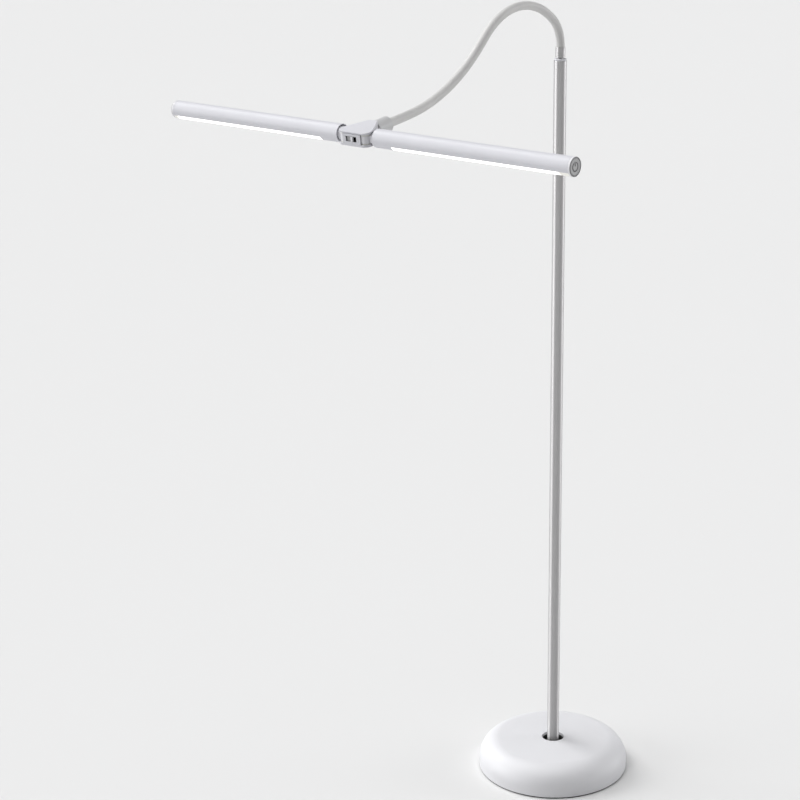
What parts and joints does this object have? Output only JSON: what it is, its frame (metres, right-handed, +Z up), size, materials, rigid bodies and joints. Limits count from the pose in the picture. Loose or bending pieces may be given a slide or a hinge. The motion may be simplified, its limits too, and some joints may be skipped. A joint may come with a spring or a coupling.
{
  "type": "adjustable arm floor lamp",
  "caption": "Floor lamp with a round weighted base, a straight pole, a flexible neck and a folding head of two tubular lights with a push button.",
  "frame": {"origin": "middle of the round base, on the floor", "axes": "+Z up, +X along the lights towards the power button, +Y from the head back to the pole"},
  "size_m": [0.674, 0.5985, 1.249],
  "materials": {
    "dark_rubber": "matte",
    "zinc_steel": "satin",
    "cast_iron": "matte",
    "white_paint": "satin",
    "black_plastic": "matte",
    "nickel": "satin",
    "white_plastic": "satin",
    "light_grey_metal": "satin",
    "washer_plastic": "matte",
    "white_aluminium": "satin",
    "diffuser": "matte",
    "plain_aluminium": "satin",
    "circuit_board": "matte",
    "led_phosphor": "gloss",
    "bezel_grey": "satin",
    "button_grey": "satin",
    "symbol_grey": "matte",
    "core_steel": "satin",
    "neck_sleeve": "satin"
  },
  "bodies": {
    "base": {"foot_pad": "dark_rubber", "base_plate": "zinc_steel", "plate_screws": "zinc_steel", "base_weight": "cast_iron", "base_cover": "white_paint", "foot_flange": "zinc_steel", "pole_rod": "zinc_steel", "rod_washer": "zinc_steel", "rod_nut": "zinc_steel", "recess_cup": "black_plastic", "pole_lock_nut": "nickel", "dc_inlet": "black_plastic", "pole": "white_paint", "pole_bush": "white_plastic"},
    "neck_root": {"neck_ferrule": "light_grey_metal", "ferrule_clip": "zinc_steel", "neck_core_0": "core_steel", "neck_sleeve_1": "neck_sleeve"},
    "neck_1": {"neck_core_1": "core_steel", "neck_sleeve_2": "neck_sleeve"},
    "neck_2": {"neck_core_2": "core_steel", "neck_sleeve_3": "neck_sleeve"},
    "neck_3": {"neck_core_3": "core_steel", "neck_sleeve_4": "neck_sleeve"},
    "neck_4": {"neck_core_4": "core_steel", "neck_sleeve_5": "neck_sleeve"},
    "neck_5": {"neck_core_5": "core_steel", "hub_socket": "light_grey_metal", "socket_clip": "zinc_steel"},
    "hub": {"hub_body": "white_plastic", "hub_cover": "white_plastic", "hub_screws": "zinc_steel", "fold_pins": "zinc_steel", "fold_washers": "washer_plastic", "switch_housing": "black_plastic"},
    "slider": {"switch_slider": "white_plastic"},
    "arm_left": {"knuckle_left": "white_plastic", "spigot_clips_left": "zinc_steel"},
    "arm_right": {"knuckle_right": "white_plastic", "spigot_clips_right": "zinc_steel"},
    "light_left": {"tube_left": "white_aluminium", "collar_left": "white_plastic", "diffuser_left": "diffuser", "web_left": "plain_aluminium", "led_board_left": "circuit_board", "leds_left": "led_phosphor", "end_cap_left": "white_plastic"},
    "light_right": {"tube_right": "white_aluminium", "collar_right": "white_plastic", "diffuser_right": "diffuser", "web_right": "plain_aluminium", "led_board_right": "circuit_board", "leds_right": "led_phosphor", "button_bezel": "bezel_grey", "button_board": "circuit_board", "button_switch": "black_plastic"},
    "button": {"power_button": "button_grey", "power_symbol": "symbol_grey"}
  },
  "joints": [
    {"name": "pole_swivel", "type": "hinge", "parent": "base", "child": "neck_root", "pos_m": [0, 0, 1.153], "axis": [0, 0, 1], "range_deg": [-170, 170]},
    {"name": "neck_bend_low", "type": "hinge", "parent": "neck_root", "child": "neck_1", "pos_m": [0, -0.01928, 1.21441], "axis": [1, 0, 0], "range_deg": [-30, 30], "deforming": ["neck_sleeve_1"]},
    {"name": "neck_side_low", "type": "hinge", "parent": "neck_1", "child": "neck_2", "pos_m": [0, -0.10252, 1.24267], "axis": [0, -0.0262, 0.9997], "range_deg": [-25, 25], "deforming": ["neck_sleeve_2"]},
    {"name": "neck_bend_middle", "type": "hinge", "parent": "neck_2", "child": "neck_3", "pos_m": [0, -0.18418, 1.21009], "axis": [1, 0, 0], "range_deg": [-30, 30], "deforming": ["neck_sleeve_3"]},
    {"name": "neck_side_high", "type": "hinge", "parent": "neck_3", "child": "neck_4", "pos_m": [0, -0.27283, 1.14833], "axis": [0, -0.4147, 0.91], "range_deg": [-25, 25], "deforming": ["neck_sleeve_4"]},
    {"name": "neck_bend_high", "type": "hinge", "parent": "neck_4", "child": "neck_5", "pos_m": [0, -0.35775, 1.12438], "axis": [1, 0, 0], "range_deg": [-30, 30], "deforming": ["neck_sleeve_5"]},
    {"name": "head_roll", "type": "hinge", "parent": "neck_5", "child": "hub", "pos_m": [0, -0.44013, 1.11427], "axis": [0, 0.9925, 0.1219], "range_deg": [-90, 90]},
    {"name": "brightness_slide", "type": "slide", "parent": "hub", "child": "slider", "axis": [1, 0, 0], "range_m": [0, 0.005]},
    {"name": "fold_left", "type": "hinge", "parent": "hub", "child": "arm_left", "pos_m": [-0.016, -0.46792, 1.11086], "axis": [0, -0.1219, 0.9925], "range_deg": [0, 90]},
    {"name": "fold_right", "type": "hinge", "parent": "hub", "child": "arm_right", "pos_m": [0.016, -0.46792, 1.11086], "axis": [0, 0.1219, -0.9925], "range_deg": [0, 90]},
    {"name": "turn_left", "type": "hinge", "parent": "arm_left", "child": "light_left", "pos_m": [-0.04, -0.45998, 1.11183], "axis": [1, 0, 0], "range_deg": [-90, 90]},
    {"name": "turn_right", "type": "hinge", "parent": "arm_right", "child": "light_right", "pos_m": [0.04, -0.45998, 1.11183], "axis": [1, 0, 0], "range_deg": [-90, 90]},
    {"name": "power_press", "type": "slide", "parent": "light_right", "child": "button", "axis": [-1, 0, 0], "range_m": [0, 0.0008], "stiffness_N_per_m": 1500, "springref_m": -0.0005}
  ]
}
